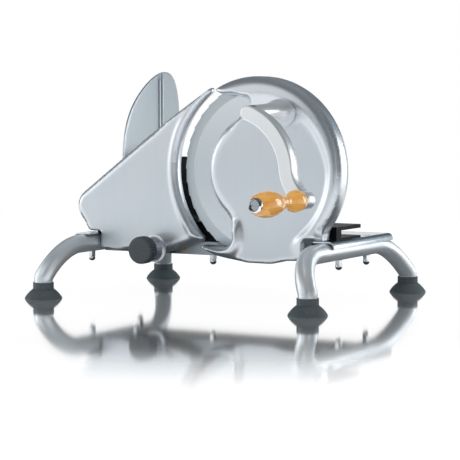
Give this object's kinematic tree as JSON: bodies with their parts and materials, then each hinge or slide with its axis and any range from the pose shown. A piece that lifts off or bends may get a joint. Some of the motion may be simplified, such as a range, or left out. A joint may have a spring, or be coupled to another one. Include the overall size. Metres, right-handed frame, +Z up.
{
  "type": "hand crank meat slicer",
  "caption": "Hand-cranked food slicer: toothed round blade in a cast housing, sliding gauge plate, carriage on a rail, bent-tube stand on rubber feet.",
  "frame": {"origin": "centre of the footprint of the whole object at rest, on the floor under the four feet", "axes": "+Z up, +X along the carriage's travel towards the crank side, -Y towards the side where the slices fall and the crank's grip points"},
  "size_m": [0.3592, 0.3876, 0.246],
  "materials": {
    "tube_satin": "satin",
    "foot_rubber": "matt",
    "plate_satin": "brushed",
    "beam_satin": "satin",
    "fastener_chrome": "polished",
    "fastener_steel": "brushed",
    "rail_black": "matt",
    "cast_aluminium": "satin",
    "blade_steel": "brushed",
    "gear_plastic": "matt",
    "bush_bronze": "turned",
    "axle_steel": "ground",
    "grip_wood": "lacquered",
    "knob_black": "matt",
    "tray_black": "matt",
    "wall_satin": "satin"
  },
  "bodies": {
    "frame": {"tube_left": "tube_satin", "tube_right": "tube_satin", "foot_front_left": "foot_rubber", "foot_front_right": "foot_rubber", "foot_rear_left": "foot_rubber", "foot_rear_right": "foot_rubber", "base_plate": "plate_satin", "front_beam": "beam_satin", "rear_beam": "beam_satin", "frame_screws": "fastener_steel", "rail_screws": "fastener_steel", "cap_nuts": "fastener_chrome", "slide_rail": "rail_black", "gear_housing": "cast_aluminium", "housing_screws": "fastener_steel", "blade_axle": "axle_steel", "axle_cap": "fastener_chrome", "crank_bush": "bush_bronze", "guide_bushes": "bush_bronze", "gauge_nut": "bush_bronze"},
    "blade_set": {"blade_gear": "gear_plastic", "blade_bush": "bush_bronze", "blade": "blade_steel", "blade_screws": "fastener_steel"},
    "crank": {"crank_shaft": "axle_steel", "crank_washer": "fastener_steel", "crank_pinion": "axle_steel", "crank_arm": "cast_aluminium", "grip_spindle": "axle_steel"},
    "grip": {"wooden_grip": "grip_wood", "grip_ring": "fastener_chrome"},
    "gauge": {"gauge_plate": "cast_aluminium", "guide_rods": "axle_steel"},
    "knob": {"thickness_knob": "knob_black", "gauge_screw": "axle_steel", "screw_collar": "fastener_steel"},
    "carriage": {"carriage_tray": "tray_black", "carriage_wall": "wall_satin", "wall_screws": "fastener_steel", "slide_shoe": "tray_black", "rear_runner": "tray_black"},
    "pusher": {"food_pusher": "tray_black", "pusher_grip": "tray_black"}
  },
  "joints": [
    {"name": "blade_turn", "type": "hinge", "parent": "frame", "child": "blade_set", "pos_m": [0.067, 0.0054, 0.1398], "axis": [0, -1, 0], "continuous": true},
    {"name": "crank_turn", "type": "hinge", "parent": "frame", "child": "crank", "pos_m": [0.10104, -0.0051, 0.20096], "axis": [0, -1, 0], "continuous": true},
    {"name": "grip_spin", "type": "hinge", "parent": "crank", "child": "grip", "pos_m": [0.16134, -0.0989, 0.11566], "axis": [0, -1, 0], "continuous": true},
    {"name": "gauge_slide", "type": "slide", "parent": "frame", "child": "gauge", "axis": [0, -1, 0], "range_m": [0, 0.015]},
    {"name": "knob_turn", "type": "hinge", "parent": "gauge", "child": "knob", "pos_m": [-0.0627, -0.0365, 0.0529], "axis": [0, -1, 0], "range_deg": [0, 300]},
    {"name": "carriage_slide", "type": "slide", "parent": "frame", "child": "carriage", "axis": [1, 0, 0], "range_m": [0, 0.15]},
    {"name": "pusher_slide", "type": "slide", "parent": "carriage", "child": "pusher", "axis": [0, -1, 0], "range_m": [-0.025, 0.05]}
  ],
  "couplings": [
    {"joint": "crank_turn", "follows": "blade_turn", "ratio": -2.1818},
    {"joint": "knob_turn", "follows": "gauge_slide", "rad_per_m": 349}
  ]
}
